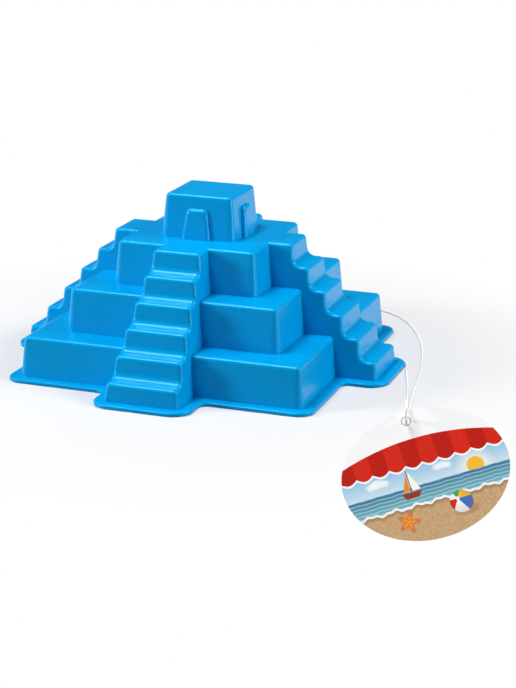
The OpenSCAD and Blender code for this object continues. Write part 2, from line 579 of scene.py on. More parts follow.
class Canvas:
    """A picture as it is painted on a card, in millimetres from the card's middle."""

    def __init__(self, board: MaterialBoard, layer: str, unit: float, soft: float, ground: Ink) -> None:
        """Starts the picture.

        Args:
            board: The material's board.
            layer: Name of the card's own coordinates.
            unit: Length that those coordinates take as one.
            soft: Softness of the printed edges.
            ground: Ink that covers the card at first.
        """
        across, up, _ = board.parts(board.add("UVMap", uv_map=layer).outputs["UV"])
        self.board = board
        self.x = (across - 0.5) * unit
        self.y = (up - 0.5) * unit
        self.soft = soft
        self.paint: Ink | bpy.types.NodeSocket = ground

    def blend(self, mask: Field, under: "Ink | Paint", over: "Ink | Paint") -> bpy.types.NodeSocket:
        """Mixes the upper of two colours over the lower one where the mask shows."""
        return self.board.mix(mask, *(c.value if isinstance(c, Ink) else c for c in (under, over)))

    def lay(self, mask: Field, colour: "Ink | Paint") -> None:
        """Paints a colour where the mask shows."""
        self.paint = self.blend(mask, self.paint, colour)

    def away(self, at: Point2, squash: float = 1.0) -> Field:
        """Distance from a place, which the squash lengthens up and down the card."""
        dx, dy = self.x - at[0], (self.y - at[1]) * squash
        return (dx * dx + dy * dy).maths("SQRT")

    def bearing(self, at: Point2) -> Field:
        """Direction from a place, anticlockwise from the right, in radians."""
        return (self.y - at[1]).maths("ARCTAN2", self.x - at[0])

    def disc(self, at: Point2, radius: float, soft: float | None = None, squash: float = 1.0) -> Field:
        """Masks a disc.

        Args:
            at: Middle of the disc.
            radius: Its radius across the card.
            soft: Softness of its edge, where it isn't that of the print.
            squash: How many times it is wider than high.

        Returns:
            The mask.
        """
        return (self.away(at, squash) - radius).within(soft or self.soft)

    def wedge(self, corners: Outline) -> Field:
        """Masks a convex shape with straight sides.

        Args:
            corners: The corners, anticlockwise.

        Returns:
            The mask.
        """
        reach = None
        for (ax, ay), (bx, by) in zip(corners, corners[1:] + corners[:1]):
            length = math.hypot(bx - ax, by - ay)
            nx, ny = (by - ay) / length, (ax - bx) / length
            side = self.x * nx + self.y * ny - (ax * nx + ay * ny)
            reach = side if reach is None else reach.most(side)
        return reach.within(self.soft)


@dataclass(frozen=True)
class Seascape:
    """The sky with its sun and clouds, the sea and the sand.

    A turn is in radians for each millimetre. A thing's own name, such as glow, is its strength.
    """

    sky_top: float = 8.0
    horizon: float = -5.0
    shore: float = -15.0

    sun_at: Point2 = (24.0, -3.0)
    sun_radius: float = 4.2
    glow_radius: float = 7.5
    glow_soft: float = 6.0
    glow: float = 0.6

    clouds: tuple[tuple[Point2, float], ...] = (
        ((-27.0, 0.21), 2.4), ((-24.0, 1.0), 3.0), ((-20.6, 0.43), 2.2),
        ((6.0, 1.14), 2.0), ((8.6, 1.57), 2.4), ((11.0, 1.0), 1.8),
    )
    cloud_squash: float = 1.4
    cloud_soft: float = 1.6
    cloud: float = 0.85

    swell_turn: float = 0.55
    swell: float = 0.5
    chop_turn: float = 1.3
    chop_start: float = 1.0
    chop: float = 0.3

    crest_turn: float = 3.4
    crest_bend: float = 0.9
    crest_from: float = 0.72
    crest_soft: float = 0.3
    crest: float = 0.4

    tide_bend: float = 1.1
    foam_width: float = 1.2
    foam_soft: float = 0.5
    wet_width: float = 1.4
    wet_soft: float = 0.3
    dry_soft: float = 1.6

    grains_per_metre: float = 900.0
    grain_detail: float = 4.0
    grain_rough: float = 0.7
    grain_span: Span = (0.35, 0.65)
    grain: float = 0.55

    def ripple(self, card: Canvas) -> Field:
        """The bend of the crests and of the tide line, across the card."""
        chop = (card.x * self.chop_turn + self.chop_start).sine() * self.chop
        return (card.x * self.swell_turn).sine() * self.swell + chop

    def paint_sky(self, card: Canvas) -> None:
        """Paints the sky, the sun with its glow, and the clouds."""
        card.lay(card.board.span(card.y, self.horizon, self.sky_top), Ink.SKY)
        card.lay(card.disc(self.sun_at, self.glow_radius, self.glow_soft) * self.glow, Ink.CREAM)
        card.lay(card.disc(self.sun_at, self.sun_radius), Ink.YELLOW)
        for at, radius in self.clouds:
            card.lay(card.disc(at, radius, self.cloud_soft, self.cloud_squash) * self.cloud, Ink.WHITE)

    def paint_sea(self, card: Canvas) -> None:
        """Paints the sea with its crests, below the horizon."""
        depth = card.board.span(card.y, self.horizon, self.shore)
        sea = card.blend(depth, Ink.DEEP_SEA, Ink.SHALLOW)
        rows = (card.y * self.crest_turn + self.ripple(card) * self.crest_bend).sine()
        crests = (rows * -1.0 + self.crest_from).within(self.crest_soft)
        sea = card.blend(crests * self.crest, sea, Ink.WHITE)
        card.lay((card.y - self.horizon).within(card.soft), sea)

    def paint_sand(self, card: Canvas) -> None:
        """Paints the foam, the wet sand and the dry sand."""
        tide = card.y - (self.ripple(card) * self.tide_bend + self.shore)
        grains = card.board.noise(self.grains_per_metre, self.grain_detail, self.grain_rough)
        grains = card.board.span(grains, *self.grain_span, 0.0, self.grain)
        card.lay((tide - self.foam_width).within(self.foam_soft), Ink.WHITE)
        card.lay(tide.within(self.wet_soft), Ink.WET_SAND)
        dry = card.blend(grains, Ink.SAND, Ink.WET_SAND)
        card.lay((tide + self.wet_width).within(self.dry_soft), dry)

    def paint(self, card: Canvas) -> None:
        """Paints the seascape from the sky down."""
        self.paint_sky(card)
        self.paint_sea(card)
        self.paint_sand(card)


@dataclass(frozen=True)
class SailingBoat:
    """A small boat with two sails."""

    hull: Outline = ((-12.6, -10.6), (-6.4, -10.6), (-4.2, -7.6), (-14.2, -7.6))
    mast: Outline = ((-9.4, -7.6), (-9.0, -7.6), (-9.0, 3.8), (-9.4, 3.8))
    sail: Outline = ((-8.7, -6.8), (-4.6, -6.8), (-8.7, 3.4))
    jib: Outline = ((-13.2, -6.8), (-9.7, -6.8), (-9.7, 2.0))

    def paint(self, card: Canvas) -> None:
        """Paints the boat, its hull last."""
        card.lay(card.wedge(self.mast), Ink.BROWN)
        card.lay(card.wedge(self.sail), Ink.CREAM)
        card.lay(card.wedge(self.jib), Ink.ORANGE)
        card.lay(card.wedge(self.hull), Ink.BROWN)


@dataclass(frozen=True)
class BeachBall:
    """A ball of coloured panels, with its shadow on the sand."""

    at: Point2 = (12.0, -18.5)
    radius: float = 5.6
    panels: tuple[Ink, ...] = (Ink.RED, Ink.WHITE, Ink.BLUE, Ink.YELLOW, Ink.GREEN, Ink.WHITE)
    panel_soft: float = 0.06
    pole_at: Point2 = (10.6, -16.7)
    pole_radius: float = 0.9
    lit_at: Point2 = (10.4, -16.7)
    lit_radius: float = 5.0
    shade: float = 0.3
    shadow_at: Point2 = (13.5, -23.0)
    shadow_radius: float = 6.0
    shadow_soft: float = 2.4
    shadow_squash: float = 2.2
    shadow: float = 0.55

    def paint(self, card: Canvas) -> None:
        """Paints the shadow, and the ball over it."""
        shadow = card.disc(self.shadow_at, self.shadow_radius, self.shadow_soft, self.shadow_squash)
        card.lay(shadow * self.shadow, Ink.WET_SAND)
        half_count = len(self.panels) / 2
        turn = card.bearing(self.pole_at) * (half_count / math.pi) + half_count
        skin = Ink.WHITE
        for k, ink in enumerate(self.panels):
            skin = card.blend(((turn - (k + 0.5)).size() - 0.5).within(self.panel_soft), skin, ink)
        skin = card.blend(card.disc(self.pole_at, self.pole_radius), skin, Ink.WHITE)
        lit = card.disc(self.lit_at, self.lit_radius, self.lit_radius)
        skin = card.blend((lit * -1.0 + 1.0) * self.shade, skin, Ink.BROWN)
        card.lay(card.disc(self.at, self.radius), skin)


@dataclass(frozen=True)
class Starfish:
    """A starfish on the sand."""

    at: Point2 = (-15.0, -21.5)
    arm_count: int = 5
    arm_start: float = 0.6
    arm_swing: float = 1.7
    radius: float = 3.3
    shadow_width: float = 0.5
    shadow_soft: float = 1.2
    core_inset: float = 1.4
    core_soft: float = 1.0
    tone: float = 0.5

    def paint(self, card: Canvas) -> None:
        """Paints its shadow, its arms and its paler core."""
        arms = (card.bearing(self.at) * self.arm_count + self.arm_start).maths("COSINE")
        outline = card.away(self.at) - (arms * self.arm_swing + self.radius)
        card.lay((outline - self.shadow_width).within(self.shadow_soft) * self.tone, Ink.BROWN)
        card.lay(outline.within(card.soft), Ink.CORAL)
        card.lay((outline + self.core_inset).within(self.core_soft) * self.tone, Ink.YELLOW)


@dataclass(frozen=True)
class Awning:
    """The red scalloped band with its white piping, and the white above it."""

    top: float = 18.5
    arch_drop: float = 0.0042
    foot: float = 6.0
    scallop_width: float = 8.2
    scallop_depth: float = 2.0
    piping: float = 1.1
    stripe_soft: float = 0.125

    def paint(self, card: Canvas) -> None:
        """Paints the piping, the band and the white."""
        wave = (card.x * (math.pi / self.scallop_width)).sine()
        foot = card.y * -1.0 + self.foot - wave.size() * self.scallop_depth
        card.lay((foot - self.piping).within(card.soft), Ink.WHITE)
        cloth = card.blend(wave.within(self.stripe_soft), Ink.RED, Ink.DEEP_RED)
        card.lay(foot.within(card.soft), cloth)
        arch = card.x * card.x * self.arch_drop + card.y - self.top
        card.lay((arch * -1.0).within(card.soft), Ink.WHITE)


@dataclass(frozen=True)
class HoleShadeRing:
    """The thin grey ring round the card's hole: painted shade that stands in for the shade of the hole's cut
    edge.
    """

    at: Point2
    radius: float

    def paint(self, card: Canvas) -> None:
        """Paints the shade ring as a disc, whose middle the hole takes away."""
        card.lay(card.disc(self.at, self.radius), Ink.HOLE_SHADE)


@dataclass(frozen=True)
class SeasidePrint:
    """Glossy seaside picture on the front of the tag.

    Attributes:
        name: Name of the material.
        layer: Name of the card's own coordinates.
        unit: Length that those coordinates take as one, in millimetres.
        ring: The ring of painted shade round the card's hole.
    """

    name: str
    layer: str
    unit: float
    ring: HoleShadeRing

    soft: float = 0.14
    ink_per_metre: float = 1400.0
    ink_detail: float = 3.0
    rough: Span = (0.26, 0.34)
    varnish: float = 0.25
    varnish_rough: float = 0.15
    relief: float = 0.02
    relief_shown: float = 0.4

    def material(self) -> bpy.types.Material:
        """Builds the material, from the seascape to what stands before it.

        Returns:
            The finished material.
        """
        board = MaterialBoard(self.name)
        card = Canvas(board, self.layer, self.unit, self.soft, Ink.HAZE)
        # The last of these, the ring, is painted shade round the hole.
        for motif in (Seascape(), SailingBoat(), BeachBall(), Starfish(), Awning(), self.ring):
            motif.paint(card)
        ink = board.noise(self.ink_per_metre, self.ink_detail)
        board.set(
            Base_Color=card.paint,
            Roughness=board.span(ink, *NOISE_SPAN, *self.rough),
            Coat_Weight=self.varnish,
            Coat_Roughness=self.varnish_rough,
        )
        board.bump(ink, self.relief, self.relief_shown)
        return board.material


@dataclass
class MouldShell:
    """The moulding: three tiers, a temple with doors, four stairs and a rim, hollow from below.

    All sizes are in millimetres and all angles in degrees. These fields need more than their names:

    Attributes:
        gate_flare: How many times wider than the gate's mark its cutter is above the temple.
        arc_steps: Number of segments in a rounding.
        least_round: Least share of a stair's rounding that the hollow keeps.
        least_door_round: Least share of a door's rounding that the hollow keeps.
        overrun: How far a cutter goes past what it cuts.
        overlap: How far a form reaches into what carries it.
        sunk: Height of the lowest tier's hidden foot, as a share of the rim's thickness.
        stair_sunk: Height of each pair of stairs' hidden foot, as a share of the lowest tier's.
        flush_lift: How far each pair of stairs tops the form before it, so that no two faces share a plane.
        crease: Least angle between two faces that stays sharp.
    """

    tier_widths: tuple[float, float, float] = (177.6, 135.0, 91.5)
    tier_height: float = 26.4
    tier_round: float = 2.6
    draft: float = 6.2
    wall: float = 2.0

    temple_width: float = 47.8
    temple_height: float = 26.4
    door_foot: float = 18.2
    door_top: float = 12.9
    door_height: float = 18.4
    door_depth: float = 2.7
    door_corner: float = 2.6
    door_edge: float = 2.4

    step_count: int = 6
    stair_reach: float = 114.2
    stair_width: float = 46.3
    step_run: float = 11.1
    nose_round: float = 2.6
    cove_round: float = 5.0
    stair_edge: float = 2.4

    rim_thick: float = 2.3
    rim_reach: float = 6.4
    stair_rim_reach: float = 7.0
    rim_corner: float = 10.0
    stair_rim_corner: float = 12.0
    rim_inner_corner: float = 5.5
    rim_top_edge: float = 1.0
    rim_foot_edge: float = 0.4

    hole_width: float = 4.0
    hole_inset: float = 17.2
    hole_edge: float = 0.3
    groove_width: float = 2.2
    groove_height: float = 1.4
    stair_groove_inset: float = 17.6
    gate_width: float = 1.8
    gate_depth: float = 0.35
    gate_flare: float = 1.5

    arc_steps: int = 8
    least_round: float = 0.2
    least_door_round: float = 0.25
    overrun: float = 1.0
    overlap: float = 6.0
    sunk: float = 0.25
    stair_sunk: tuple[float, float] = (1.2, 1.4)
    flush_lift: float = 0.02
    crease: float = 32.0

    @property
    def slope(self) -> float:
        """How far a wall leans in for each millimetre of height."""
        return math.tan(math.radians(self.draft))

    def leaning(self, inset: float) -> float:
        """How far an inset, measured across a drafted wall, reaches along the level."""
        return inset / math.cos(math.radians(self.draft))

    @property
    def temple_foot(self) -> float:
        """Height of the top tier, where the temple stands."""
        return len(self.tier_widths) * self.tier_height

    def block(self, foot_width: float, foot: float, height: float, inset: float, bottom: float) -> Form:
        """Shapes a square drafted block with rounded edges.

        Args:
            foot_width: Outer width at its visible foot.
            foot: Height of that foot.
            height: Its height above the foot.
            inset: How far its faces are drawn in.
            bottom: Height where the form ends, hidden in what is under it.

        Returns:
            The block.
        """
        radius = self.tier_round - inset
        top = foot + height - inset
        half = foot_width / 2 - (height - inset) * self.slope - self.leaning(inset)
        core = half - radius
        shift = radius - self.leaning(radius) + radius * self.slope
        levels = [(radius + (top - bottom) * self.slope, bottom)]
        for i in range(self.arc_steps + 1):
            angle = math.radians(self.draft + (QUARTER_TURN - self.draft) * i / self.arc_steps)
            levels.append((shift + radius * math.cos(angle), top - radius + radius * math.sin(angle)))
        return Form.loft([self.rounded_square(core, reach, z) for reach, z in levels])

    def rounded_square(self, core: float, radius: float, z: float) -> list[Point3]:
        """Draws one level of a block.

        Args:
            core: Distance of the corners' centres from the middle.
            radius: Radius of the corners.
            z: Height of the level.

        Returns:
            The points of the level.
        """
        ring = []
        for quarter, (sx, sy) in enumerate(((1, 1), (-1, 1), (-1, -1), (1, -1))):
            for i in range(self.arc_steps + 1):
                angle = math.pi / 2 * (quarter + i / self.arc_steps)
                ring.append((sx * core + radius * math.cos(angle), sy * core + radius * math.sin(angle), z))
        return ring

    def stair_profile(self, inset: float, bottom: float, lift: float) -> list[Point2]:
        """Draws two opposite stairs seen from the side.

        Args:
            inset: How far the profile is drawn in.
            bottom: Height where it ends below.
            lift: How far its top stands above the top tier.

        Returns:
            The points, from the foot of one stair over the top to the foot of the other.
        """
        rise = (self.temple_foot + lift) / self.step_count
        reach = self.stair_reach - inset
        nose = max(self.nose_round - inset, self.nose_round * self.least_round)
        cove = self.cove_round + inset

        def edge(k: int) -> Point2:
            """The sharp corner of step k's nose."""
            return (reach - rise * self.slope - (k - 1) * self.step_run, k * rise - inset)

        def foot(k: int) -> Point2:
            """The sharp corner where step k meets the riser above it."""
            return (reach - k * self.step_run, k * rise - inset)

        points = [(reach - bottom * self.slope, bottom)]
        for k in range(1, self.step_count + 1):
            before = foot(k - 1) if k > 1 else (reach, 0.0)
            points += corner_arc(before, edge(k), foot(k), nose, self.arc_steps)
            if k < self.step_count:
                points += corner_arc(edge(k), foot(k), edge(k + 1), cove, self.arc_steps)
        return points + [(-x, z) for x, z in reversed(points)]

    def stair_bar(self, inset: float, bottom: float, lift: float) -> Form:
        """Shapes two opposite stairs as one bar along x, with its side edges rounded.

        Args:
            inset: How far its faces are drawn in.
            bottom: Height where the form ends below.
            lift: How far its top stands above the top tier.

        Returns:
            The bar.
        """
        profile = [Vector(p) for p in self.stair_profile(inset, bottom, lift)]
        half = self.stair_width / 2 - self.leaning(inset)
        radius = max(self.stair_edge - inset, self.stair_edge * self.least_round)
        normals = []
        for back, ahead in zip(profile[:1] + profile[:-1], profile[1:] + profile[-1:]):
            along = (ahead - back).normalized()
            normals.append(Vector((along.y, -along.x)))
        columns = []
        for side in (1, -1):
            turns = range(self.arc_steps, -1, -1) if side > 0 else range(self.arc_steps + 1)
            for k in turns:
                angle = math.pi / 2 * k / self.arc_steps
                drawn = radius * (1 - math.cos(angle))
                short = radius * (1 - math.sin(angle))
                column = []
                for at, normal in zip(profile, normals):
                    x, z = at - normal * drawn
                    z = max(z, bottom) if at.y > bottom else bottom
                    column.append((x, side * (half - z * self.slope - short), z))
                columns.append(column)
        rows = len(profile)
        points = [p for column in columns for p in column]
        faces = []
        for c in range(len(columns) - 1):
            for i in range(rows - 1):
                a = c * rows + i
                faces.append((a, a + 1, a + rows + 1, a + rows))
        last = (len(columns) - 1) * rows
        faces.append(tuple(reversed(range(rows))))
        faces.append(tuple(range(last, last + rows)))
        starts = [c * rows for c in range(len(columns))]
        faces.append((*starts, *(s + rows - 1 for s in reversed(starts))))
        return Form(points, faces)

    def door(self, inset: float, bottom: float) -> Form:
        """Shapes the raised door on the temple's front.

        Args:
            inset: How far its faces are drawn in.
            bottom: Height where the form ends below.

        Returns:
            The door, standing out along -y.
        """
        taper = (self.door_foot - self.door_top) / 2 / self.door_height
        front = self.temple_width / 2 + self.door_depth - self.leaning(inset)
        radius = max(self.door_edge - inset, self.door_edge * self.least_door_round)
        corner = max(self.door_corner - inset, self.door_corner * self.least_door_round)
        rings = []
        for k in range(-1, self.arc_steps + 1):
            angle = math.pi / 2 * max(k, 0) / self.arc_steps
            drawn = inset + radius * (1 - math.cos(angle))
            depth = front - radius + radius * math.sin(angle) if k >= 0 else front - self.overlap
            top = self.temple_foot + self.door_height - drawn
            lower = self.door_foot / 2 - drawn + (self.temple_foot - bottom) * taper
            upper = self.door_top / 2 - drawn + drawn * taper
            outline = [(-lower, bottom), (lower, bottom)]
            outline += corner_arc((lower, bottom), (upper, top), (-upper, top), corner, self.arc_steps)
            outline += corner_arc((upper, top), (-upper, top), (-lower, bottom), corner, self.arc_steps)
            rings.append([(x, (z - self.temple_foot) * self.slope - depth, z) for x, z in outline])
        return Form.loft(rings)

    def rim_outline(self, inset: float) -> list[Point2]:
        """Draws the rim's outline, a plus with rounded corners.

        Args:
            inset: How far it is drawn in.

        Returns:
            The outline.
        """
        body = self.tier_widths[0] / 2 + self.rim_reach - inset
        arm = self.stair_width / 2 + self.stair_rim_reach - inset
        reach = self.stair_reach + self.rim_reach - inset
        quarter = [(body, -arm), (reach, -arm), (reach, arm), (body, arm), (body, body)]
        inner, stair = self.rim_inner_corner + inset, self.stair_rim_corner - inset
        radii = [inner, stair, stair, inner, self.rim_corner - inset] * QUARTERS
        corners = []
        for _ in range(QUARTERS):
            corners += quarter
            quarter = [(-y, x) for x, y in quarter]
        outline = []
        for i, radius in enumerate(radii):
            before, after = corners[i - 1], corners[(i + 1) % len(corners)]
            outline += corner_arc(before, corners[i], after, radius, self.arc_steps)
        return outline

    def rim(self) -> Form:
        """Shapes the rim as a plate with rounded edges.

        Returns:
            The rim.
        """
        levels = []
        foot, foot_steps = self.rim_foot_edge, self.arc_steps // 2
        for i in range(foot_steps + 1):
            angle = math.pi / 2 * i / foot_steps
            levels.append((foot * (1 - math.sin(angle)), foot * (1 - math.cos(angle))))
        top = self.rim_top_edge
        for i in range(self.arc_steps + 1):
            angle = math.pi / 2 * i / self.arc_steps
            levels.append((top * (1 - math.cos(angle)), self.rim_thick - top * (1 - math.sin(angle))))
        return Form.loft([[(x, y, z) for x, y in self.rim_outline(inset)] for inset, z in levels])

    def round_cut(self, at: Point2, levels: list[tuple[float, float]]) -> Form:
        """Shapes a round cutter.

        Args:
            at: Its axis.
            levels: Radius and height of each level, from below.

        Returns:
            The cutter.
        """
        count = self.arc_steps * QUARTERS
        turns = [2 * math.pi * i / count for i in range(count)]
        return Form.loft([[(at[0] + r * math.cos(a), at[1] + r * math.sin(a), z) for a in turns]
                          for r, z in levels])

    def string_hole(self) -> Form:
        """Shapes the hole in the rear rim, with its edges broken.

        Returns:
            The cutter.
        """
        radius, edge = self.hole_width / 2, self.hole_edge
        levels = [(radius + edge, -self.overrun), (radius + edge, 0.0), (radius, edge),
                  (radius, self.rim_thick - edge), (radius + edge, self.rim_thick),
                  (radius + edge, self.rim_thick + self.overrun)]
        return self.round_cut(self.hole_place(), levels)

    def hole_place(self) -> Point2:
        """Where the hole's axis is."""
        side = self.tier_widths[0] / 2
        return (side + self.rim_reach - self.hole_inset, side + self.rim_reach / 2)

    def groove(self, x: float, start: float, end: float) -> Form:
        """Shapes a round-topped groove under the rim, along y.

        Args:
            x: Where its middle is.
            start: Where it begins, inside the hollow.
            end: Where it ends.

        Returns:
            The cutter.
        """
        radius = self.groove_width / 2
        outline = [(x - radius, -self.overrun), (x + radius, -self.overrun)]
        for i in range(self.arc_steps + 1):
            angle = math.pi * i / self.arc_steps
            top = self.groove_height - radius * (1 - math.sin(angle))
            outline.append((x + radius * math.cos(angle), top))
        return Form.loft([[(px, py, pz) for px, pz in outline] for py in (end, start)])

    def grooves(self) -> list[Form]:
        """Lists the grooves that let the loop in at its hole and out beside the right stair."""
        hole_x, hole_y = self.hole_place()
        inner = self.leaning(self.wall) + self.overrun
        stair_x = self.stair_reach + self.rim_reach - self.stair_groove_inset
        stair_side = self.stair_width / 2
        return [
            self.groove(hole_x, self.tier_widths[0] / 2 - inner, hole_y),
            self.groove(stair_x, stair_side - inner, stair_side + self.stair_rim_reach + self.overrun),
        ]

    def gate(self) -> Form:
        """Shapes the small dimple that the moulding gate leaves on the temple's top.

        Returns:
            The cutter.
        """
        top = self.temple_foot + self.temple_height
        radius = self.gate_width / 2
        levels = []
        for i in range(1, self.arc_steps + 1):
            share = i / self.arc_steps
            levels.append((radius * share, top - self.gate_depth * (1 - share * share)))
        levels.append((radius * self.gate_flare, top + self.gate_depth))
        return self.round_cut((0.0, 0.0), levels)

    def forms(self, inset: float) -> list[Form]:
        """Lists the stepped forms, drawn in from the outer faces.

        Args:
            inset: Nothing for the outside, or the wall's thickness for the hollow.

        Returns:
            Tiers, temple, stairs and doors.
        """
        base = -self.overrun if inset else self.rim_thick * self.sunk
        made = []
        for k, width in enumerate((*self.tier_widths, self.temple_width)):
            foot = k * self.tier_height
            height = self.tier_height if k < len(self.tier_widths) else self.temple_height
            made.append(self.block(width, foot, height, inset, foot - self.overlap if k else base))
        for k, sunk in enumerate(self.stair_sunk):
            bar = self.stair_bar(inset, base * sunk, self.flush_lift * (k + 1))
            made.append(bar.turned(QUARTER_TURN * k))
        door = self.door(inset, self.temple_foot - inset - self.overrun)
        made += [door.turned(QUARTER_TURN * k) for k in range(QUARTERS)]
        return made

    def build(self, finish: MouldedPlastic) -> bpy.types.Object:
        """Builds and dresses the moulding.

        Args:
            finish: Its plastic.

        Returns:
            The finished piece.
        """
        shell = self.rim().piece("moulded_shell")
        for form in self.forms(0.0):
            join(shell, form, Joining.ADD)
        for form in (*self.forms(self.wall), self.string_hole(), *self.grooves(), self.gate()):
            join(shell, form, Joining.CUT)
        shell.data.materials.clear()
        shell.data.materials.append(finish.material())
        smooth(shell, self.crease)
        place(shell, Body.MOULD, "mould_shell")
        return shell


@dataclass
class TagLoop:
    """The nylon loop from the rim to the tag and back, in millimetres.

    Attributes:
        thick: Thickness of the filament.
        roundness: Number of further segments in a quarter of its round section.
        spacing_power: Power of the gap between two points that spaces them along the curve.
        steps: Number of segments between two points of the route.
        lock_front: Where the loop ends, in the lock's front.
        lock_back: Where it starts, in the lock's back.
        pivot: Where it passes through the tag's hole.
    """

    thick: float = 1.0
    roundness: int = 3
    spacing_power: float = 0.5
    steps: int = 8
    lock_front: Point3 = (61.0, 114.0, 2.0)
    lock_back: Point3 = (61.0, 122.0, 2.0)
    pivot: Point3 = (179.0, -208.0, 47.0)

    def route(self) -> list[Vector]:
        """Lists the points that the loop passes, from the back of its lock round to its front."""
        points = [
            self.lock_back, (61, 127, 1.5), (65.5, 135, 0.5), (73, 134, 0.5), (86, 126, 0.5),
            (98, 112, 0.5), (111, 87.5, 0.5), (122.5, 55, 0.5), (132, 14, 0.5), (144, -60, 0.5),
            (160, -125, 0.5), (169, -159, 12), (173, -179, 28), (177, -200, 51.5), (178, -204, 55.5),
            (179, -208.5, 56.5), (180, -212, 55), (180, -212.5, 51.5), self.pivot, (177, -199, 39),
            (167.5, -164.5, 11), (160, -134, 0.5), (134.5, -27, 0.5), (122.6, 15, 0.5), (120, 25.5, 0.5),
            (114.5, 30.5, 0.5), (109, 33, 0.5), (104.8, 32.6, 0.5), (103, 29.5, 0.5), (102.8, 21, 0.5),
            (97, 12, 0.5), (87, 14, 0.5), (78.5, 36, 0.5), (78, 84, 0.5), (78, 88.8, 0.5),
            (78, 90.2, 0.85), (78, 92, 2.7), (77.4, 94.2, 4.9), (75, 98, 6.2), (65, 109.5, 2.6),
            self.lock_front,
        ]
        return [Vector(p) for p in points]

    def centreline(self) -> list[Vector]:
        """Draws the smooth curve through the route, no lower than the floor allows.

        Returns:
            Points along the curve, in millimetres.
        """
        route = self.route()
        last = len(route) - 1
        gaps = [(b - a).length ** self.spacing_power for a, b in zip(route, route[1:])]
        slopes = [(route[1] - route[0]) / gaps[0]]
        for i in range(1, last):
            before, after = gaps[i - 1], gaps[i]
            slopes.append((route[i] - route[i - 1]) / before
                          - (route[i + 1] - route[i - 1]) / (before + after)
                          + (route[i + 1] - route[i]) / after)
        slopes.append((route[last] - route[last - 1]) / gaps[last - 1])
        curve = []
        for i in range(last):
            for k in range(self.steps):
                t = k / self.steps
                at = (route[i] * (2 * t**3 - 3 * t**2 + 1) + slopes[i] * gaps[i] * (t**3 - 2 * t**2 + t)
                      + route[i + 1] * (3 * t**2 - 2 * t**3) + slopes[i + 1] * gaps[i] * (t**3 - t**2))
                curve.append(Vector((at.x, at.y, max(at.z, self.thick / 2))))
        curve.append(route[last])
        return curve

    def build(self, finish: MilkyNylon) -> bpy.types.Object:
        """Builds and dresses the loop.

        Args:
            finish: Its nylon.

        Returns:
            The finished curve.
        """
        points = self.centreline()
        data = bpy.data.curves.new("filament_loop", "CURVE")
        data.dimensions = "3D"
        data.bevel_depth = self.thick / 2 * MM
        data.bevel_resolution = self.roundness
        data.use_fill_caps = True
        spline = data.splines.new("POLY")
        spline.points.add(len(points) - 1)
        for target, at in zip(spline.points, points):
            target.co = (*(at * MM), 1.0)
        data.materials.append(finish.material())
        loop = bpy.data.objects.new("filament_loop", data)
        bpy.context.scene.collection.objects.link(loop)
        place(loop, Body.MOULD, "tag_loop")
        return loop

    def length(self) -> float:
        """Length of the loop along its curve, in millimetres."""
        points = self.centreline()
        return sum((b - a).length for a, b in zip(points, points[1:]))


@dataclass
class SnapLock:
    """The small ribbed lock that closes the loop, in millimetres."""

    front: Point3
    back: Point3
    barrel: float = 3.8
    collar: float = 2.6
    collar_length: float = 1.2
    edge: float = 0.25
    rib_count: int = 5
    rib_depth: float = 0.22
    rib_steps: int = 8
    sides: int = 32
    crease: float = 40.0

    def profile(self) -> list[Point2]:
        """Draws the lock's outline from its front to its back.

        Returns:
            Distance along the lock, and radius.
        """
        length = (Vector(self.back) - Vector(self.front)).length
        edge, inner, outer = self.edge, self.collar / 2, self.barrel / 2
        start, end = self.collar_length, length - self.collar_length
        points = [(0.0, inner - edge), (edge, inner), (start, inner), (start, outer - edge)]
        first, final = start + edge, end - edge
        count = self.rib_count * self.rib_steps
        for i in range(count + 1):
            wave = 1 - math.cos(2 * math.pi * i / self.rib_steps)
            points.append((first + (final - first) * i / count, outer - self.rib_depth * wave / 2))
        return points + [(end, outer - edge), (end, inner), (length - edge, inner), (length, inner - edge)]

    def build(self, finish: MilkyNylon) -> bpy.types.Object:
        """Builds and dresses the lock.

        Args:
            finish: Its plastic.

        Returns:
            The finished piece.
        """
        x, y, z = self.front
        turns = [2 * math.pi * i / self.sides for i in range(self.sides)]
        rings = [[(x + r * math.sin(a), y + along, z + r * math.cos(a)) for a in turns]
                 for along, r in self.profile()]
        lock = Form.loft(rings).piece("snap_lock")
        lock.data.materials.append(finish.material())
        smooth(lock, self.crease)
        place(lock, Body.MOULD, "loop_lock")
        return lock


